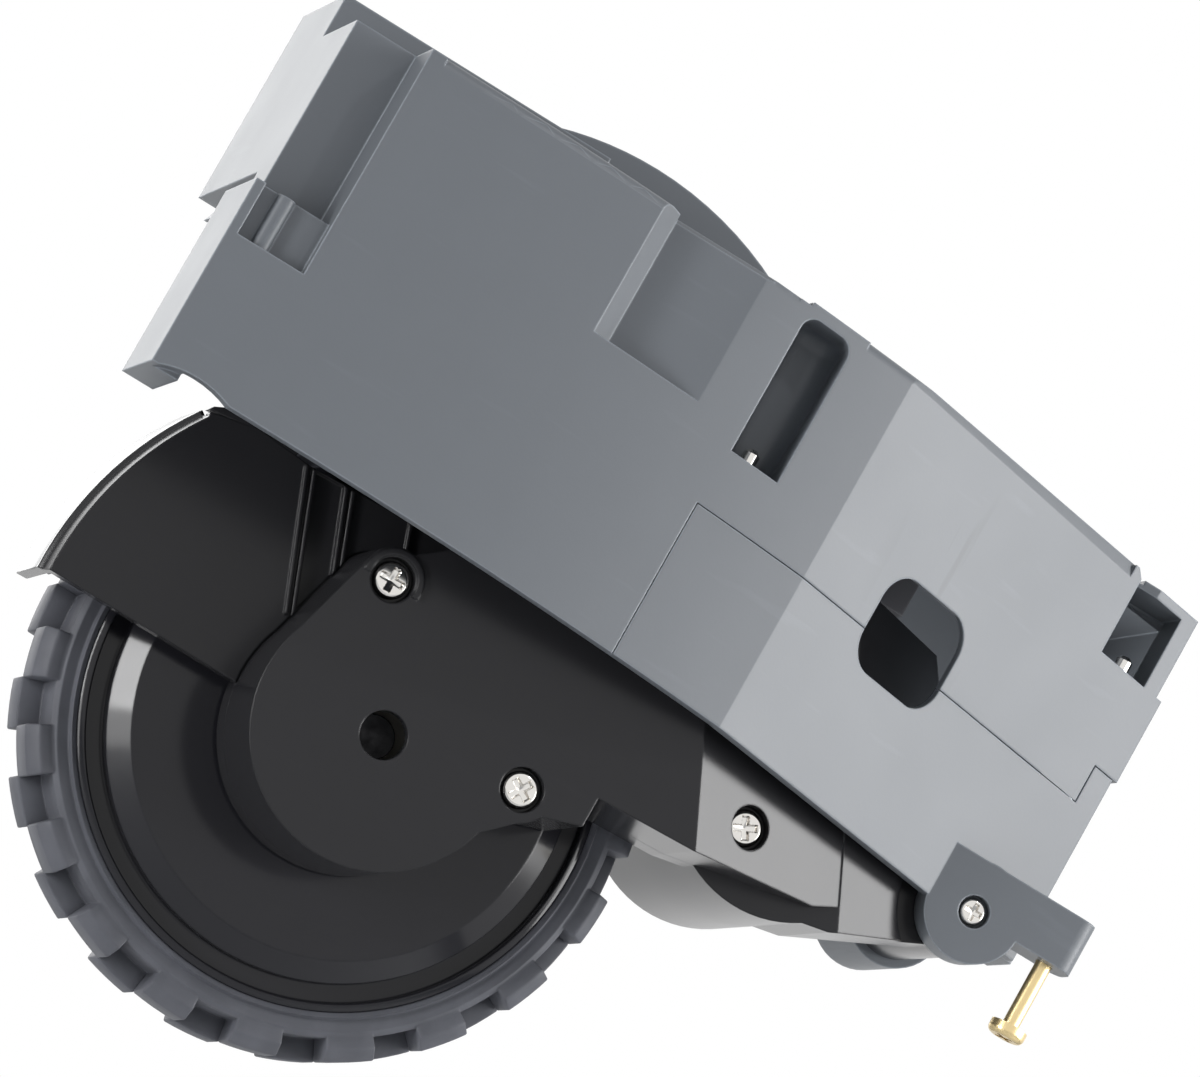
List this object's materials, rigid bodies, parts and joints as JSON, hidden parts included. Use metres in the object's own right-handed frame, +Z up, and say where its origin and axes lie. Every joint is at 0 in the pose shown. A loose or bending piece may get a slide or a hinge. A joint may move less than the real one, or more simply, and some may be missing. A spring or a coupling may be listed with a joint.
{
  "type": "robot vacuum wheel module",
  "caption": "Drive wheel module for a robot vacuum: grey housing, black swinging gear case with motor, and a treaded wheel on the arm; captive screws fix it.",
  "frame": {"origin": "centre of the ear's seat, on the face that meets the robot's chassis", "axes": "+X along the housing towards the pivot and the ear, +Y inwards from the outer wall along the wheel's axis, +Z up out of the floor"},
  "size_m": [0.1322, 0.083, 0.1102],
  "materials": {
    "housing": "satin moulded grey",
    "cover": "satin moulded grey",
    "black_gloss": "glossy moulded black",
    "black_matte": "moulded black",
    "tyre": "moulded rubber",
    "nickel": "nickel plated",
    "brass": "bright",
    "steel": "drawn",
    "bronze": "sintered",
    "gear": "natural acetal",
    "magnet": "ferrite",
    "board": "solder resist"
  },
  "bodies": {
    "housing": {"upper_housing": "housing", "lower_cover": "cover", "retract_sensor": "black_matte", "sensor_board": "board", "pivot_pin": "steel", "pivot_screw": "nickel", "suspension_spring": "steel"},
    "arm": {"gearbox_case": "black_gloss", "gearbox_cover": "black_gloss", "cover_screws": "nickel", "gear_pins": "steel", "output_bush": "bronze", "pivot_bushes": "bronze", "motor_can": "steel", "motor_magnets": "magnet", "motor_endbell": "black_matte", "motor_rear_cover": "black_matte", "encoder_board": "board"},
    "wheel": {"wheel_hub": "black_matte", "tyre": "tyre", "output_shaft": "steel", "output_gear": "gear", "hub_washer": "steel", "hub_screw": "nickel"},
    "third_gear": {"gear_three": "gear"},
    "second_gear": {"gear_two": "gear"},
    "first_gear": {"gear_one": "gear"},
    "rotor": {"rotor_core": "steel", "motor_shaft": "steel", "motor_pinion": "bronze"},
    "ear_fastener": {"ear_screw": "brass"},
    "slot_fastener": {"slot_screw": "nickel"},
    "corner_fastener": {"corner_screw": "nickel"}
  },
  "joints": [
    {"name": "wheel_spin", "type": "hinge", "parent": "arm", "child": "wheel", "pos_m": [-0.0785, 0.007, -0.0263], "axis": [0, 1, 0], "continuous": true},
    {"name": "arm_swing", "type": "hinge", "parent": "housing", "child": "arm", "pos_m": [-0.0058, 0.01, -0.0059], "axis": [0, 1, 0], "range_deg": [0, 25.5], "stiffness_Nm_per_rad": 0.6, "springref_deg": -68.75, "deforming": ["suspension_spring"]},
    {"name": "third_gear_spin", "type": "hinge", "parent": "arm", "child": "third_gear", "pos_m": [-0.0695, -0.012, -0.0117], "axis": [0, 1, 0], "continuous": true},
    {"name": "second_gear_spin", "type": "hinge", "parent": "arm", "child": "second_gear", "pos_m": [-0.0566, -0.012, -0.0068], "axis": [0, 1, 0], "continuous": true},
    {"name": "first_gear_spin", "type": "hinge", "parent": "arm", "child": "first_gear", "pos_m": [-0.04455, -0.008, 0.00109], "axis": [0, 1, 0], "continuous": true},
    {"name": "rotor_spin", "type": "hinge", "parent": "arm", "child": "rotor", "pos_m": [-0.0315, 0.01, -0.0063], "axis": [0, 1, 0], "continuous": true},
    {"name": "ear_screw_slide", "type": "slide", "parent": "housing", "child": "ear_fastener", "axis": [0, 0, 1], "range_m": [0, 0.008]},
    {"name": "slot_screw_slide", "type": "slide", "parent": "housing", "child": "slot_fastener", "axis": [0, 0, 1], "range_m": [0, 0.0058]},
    {"name": "corner_screw_slide", "type": "slide", "parent": "housing", "child": "corner_fastener", "axis": [0, 0, 1], "range_m": [0, 0.0035]}
  ],
  "couplings": [
    {"joint": "third_gear_spin", "follows": "wheel_spin", "ratio": -2.7692},
    {"joint": "second_gear_spin", "follows": "wheel_spin", "ratio": 7.8462},
    {"joint": "first_gear_spin", "follows": "wheel_spin", "ratio": -23.538},
    {"joint": "rotor_spin", "follows": "wheel_spin", "ratio": 60.527}
  ]
}
